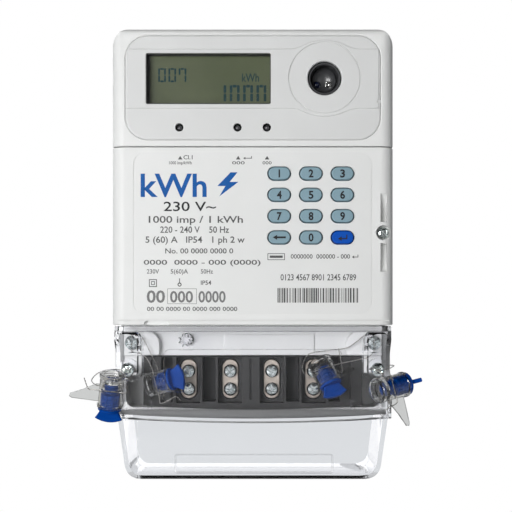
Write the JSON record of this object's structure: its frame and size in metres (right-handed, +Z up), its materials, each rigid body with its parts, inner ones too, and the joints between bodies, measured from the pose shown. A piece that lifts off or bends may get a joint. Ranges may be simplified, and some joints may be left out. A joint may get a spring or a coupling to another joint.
{
  "type": "prepaid electricity meter",
  "caption": "Wall-hung single-phase prepaid electricity meter with display panel, keypad, optical port, terminal block under a clear sealed cover and twist seals.",
  "frame": {"origin": "middle of the case's flat back, on the wall", "axes": "+Z up, +Y into the wall so the display faces -Y, +X to the viewer's right"},
  "size_m": [0.1615, 0.0813, 0.21],
  "materials": {
    "case_plastic": "fine matt moulded light grey",
    "panel_plastic": "satin light grey",
    "key_plastic": "satin blue grey",
    "key_plastic_blue": "satin bright blue",
    "black_plastic": "fine matt moulded dark grey",
    "clear_plastic": "polished clear polycarbonate",
    "lcd_glass": "polished olive grey display glass",
    "circuit_board": "green solder mask",
    "silicone_rubber": "matt",
    "capacitor_plastic": "yellow potted box",
    "battery_case": "printed sleeve",
    "plated_steel": "bright zinc plate",
    "nickel_brass": "dull nickel plate",
    "seal_plastic": "satin deep blue",
    "seal_wire": "stranded stainless wire"
  },
  "bodies": {
    "case": {"base": "case_plastic", "upper_front_cover": "case_plastic", "lower_front_cover": "case_plastic", "display_panel": "panel_plastic", "lcd_window": "clear_plastic", "lcd_module": "lcd_glass", "port_sleeve": "black_plastic", "ir_diode_pair": "black_plastic", "led_bar": "black_plastic", "relay": "black_plastic", "current_transformer": "black_plastic", "terminal_block": "black_plastic", "port_magnet_ring": "plated_steel", "main_pcb": "circuit_board", "keypad_mat": "silicone_rubber", "mains_capacitor": "capacitor_plastic", "battery": "battery_case", "terminal_live_in": "nickel_brass", "screw_live_in_upper": "plated_steel", "screw_live_in_lower": "plated_steel", "terminal_live_out": "nickel_brass", "screw_live_out_upper": "plated_steel", "screw_live_out_lower": "plated_steel", "terminal_neutral_out": "nickel_brass", "screw_neutral_out_upper": "plated_steel", "screw_neutral_out_lower": "plated_steel", "terminal_neutral_in": "nickel_brass", "screw_neutral_in_upper": "plated_steel", "screw_neutral_in_lower": "plated_steel", "side_screw": "plated_steel", "case_screw_left": "plated_steel", "case_screw_right": "plated_steel"},
    "key_1_body": {"key_1": "key_plastic"},
    "key_2_body": {"key_2": "key_plastic"},
    "key_3_body": {"key_3": "key_plastic"},
    "key_4_body": {"key_4": "key_plastic"},
    "key_5_body": {"key_5": "key_plastic"},
    "key_6_body": {"key_6": "key_plastic"},
    "key_7_body": {"key_7": "key_plastic"},
    "key_8_body": {"key_8": "key_plastic"},
    "key_9_body": {"key_9": "key_plastic"},
    "key_back_body": {"key_back": "key_plastic"},
    "key_0_body": {"key_0": "key_plastic"},
    "key_enter_body": {"key_enter": "key_plastic_blue"},
    "terminal_cover": {"terminal_cover": "clear_plastic", "cover_screw_left": "plated_steel", "cover_screw_right": "plated_steel"},
    "tamper_plunger": {"tamper_plunger": "case_plastic"},
    "seal_outer_left": {"seal_outer_left_barrel": "clear_plastic", "seal_outer_left_wire": "seal_wire"},
    "seal_outer_left_rotor": {"seal_outer_left_rotor": "seal_plastic"},
    "seal_outer_right": {"seal_outer_right_barrel": "clear_plastic", "seal_outer_right_wire": "seal_wire"},
    "seal_outer_right_rotor": {"seal_outer_right_rotor": "seal_plastic"},
    "seal_inner_left": {"seal_inner_left_barrel": "clear_plastic", "seal_inner_left_wire": "seal_wire"},
    "seal_inner_left_rotor": {"seal_inner_left_rotor": "seal_plastic"},
    "seal_inner_right": {"seal_inner_right_barrel": "clear_plastic", "seal_inner_right_wire": "seal_wire"},
    "seal_inner_right_rotor": {"seal_inner_right_rotor": "seal_plastic"}
  },
  "joints": [
    {"name": "key_1_press", "type": "slide", "parent": "case", "child": "key_1_body", "axis": [0, 1, 0], "range_m": [0, 0.0008], "stiffness_N_per_m": 1200, "springref_m": -0.0004},
    {"name": "key_2_press", "type": "slide", "parent": "case", "child": "key_2_body", "axis": [0, 1, 0], "range_m": [0, 0.0008], "stiffness_N_per_m": 1200, "springref_m": -0.0004},
    {"name": "key_3_press", "type": "slide", "parent": "case", "child": "key_3_body", "axis": [0, 1, 0], "range_m": [0, 0.0008], "stiffness_N_per_m": 1200, "springref_m": -0.0004},
    {"name": "key_4_press", "type": "slide", "parent": "case", "child": "key_4_body", "axis": [0, 1, 0], "range_m": [0, 0.0008], "stiffness_N_per_m": 1200, "springref_m": -0.0004},
    {"name": "key_5_press", "type": "slide", "parent": "case", "child": "key_5_body", "axis": [0, 1, 0], "range_m": [0, 0.0008], "stiffness_N_per_m": 1200, "springref_m": -0.0004},
    {"name": "key_6_press", "type": "slide", "parent": "case", "child": "key_6_body", "axis": [0, 1, 0], "range_m": [0, 0.0008], "stiffness_N_per_m": 1200, "springref_m": -0.0004},
    {"name": "key_7_press", "type": "slide", "parent": "case", "child": "key_7_body", "axis": [0, 1, 0], "range_m": [0, 0.0008], "stiffness_N_per_m": 1200, "springref_m": -0.0004},
    {"name": "key_8_press", "type": "slide", "parent": "case", "child": "key_8_body", "axis": [0, 1, 0], "range_m": [0, 0.0008], "stiffness_N_per_m": 1200, "springref_m": -0.0004},
    {"name": "key_9_press", "type": "slide", "parent": "case", "child": "key_9_body", "axis": [0, 1, 0], "range_m": [0, 0.0008], "stiffness_N_per_m": 1200, "springref_m": -0.0004},
    {"name": "key_back_press", "type": "slide", "parent": "case", "child": "key_back_body", "axis": [0, 1, 0], "range_m": [0, 0.0008], "stiffness_N_per_m": 1200, "springref_m": -0.0004},
    {"name": "key_0_press", "type": "slide", "parent": "case", "child": "key_0_body", "axis": [0, 1, 0], "range_m": [0, 0.0008], "stiffness_N_per_m": 1200, "springref_m": -0.0004},
    {"name": "key_enter_press", "type": "slide", "parent": "case", "child": "key_enter_body", "axis": [0, 1, 0], "range_m": [0, 0.0008], "stiffness_N_per_m": 1200, "springref_m": -0.0004},
    {"name": "tamper_plunger_press", "type": "slide", "parent": "case", "child": "tamper_plunger", "axis": [0, 1, 0], "range_m": [0, 0.0008], "stiffness_N_per_m": 400, "springref_m": -0.0015},
    {"name": "terminal_cover_lift", "type": "slide", "parent": "case", "child": "terminal_cover", "axis": [0, -1, 0], "range_m": [0, 0.07]},
    {"name": "seal_outer_left_swing", "type": "hinge", "parent": "terminal_cover", "child": "seal_outer_left", "pos_m": [-0.0586, -0.0557, -0.0676], "axis": [1, 0, 0], "range_deg": [-30, 0]},
    {"name": "seal_outer_left_twist", "type": "hinge", "parent": "seal_outer_left", "child": "seal_outer_left_rotor", "pos_m": [-0.0654, -0.0704, -0.0839], "axis": [0.1178, -0.2728, 0.9548], "range_deg": [0, 180]},
    {"name": "seal_outer_right_swing", "type": "hinge", "parent": "terminal_cover", "child": "seal_outer_right", "pos_m": [0.0586, -0.0557, -0.0676], "axis": [1, 0, 0], "range_deg": [-30, 0]},
    {"name": "seal_outer_right_twist", "type": "hinge", "parent": "seal_outer_right", "child": "seal_outer_right_rotor", "pos_m": [0.0695, -0.0682, -0.0737], "axis": [-0.8469, -0.5019, -0.1757], "range_deg": [0, 180]},
    {"name": "seal_inner_left_swing", "type": "hinge", "parent": "case", "child": "seal_inner_left", "pos_m": [-0.0573, -0.04875, -0.0548], "axis": [1, 0, 0], "range_deg": [0, 2.5]},
    {"name": "seal_inner_left_twist", "type": "hinge", "parent": "seal_inner_left", "child": "seal_inner_left_rotor", "pos_m": [-0.0391, -0.0526, -0.0725], "axis": [-0.9201, 0.3067, -0.2436], "range_deg": [0, 180]},
    {"name": "seal_inner_right_swing", "type": "hinge", "parent": "case", "child": "seal_inner_right", "pos_m": [0.0573, -0.04875, -0.0548], "axis": [1, 0, 0], "range_deg": [-5, 3]},
    {"name": "seal_inner_right_twist", "type": "hinge", "parent": "seal_inner_right", "child": "seal_inner_right_rotor", "pos_m": [0.0362, -0.0542, -0.074], "axis": [-0.393, 0.369, 0.8422], "range_deg": [0, 180]}
  ]
}
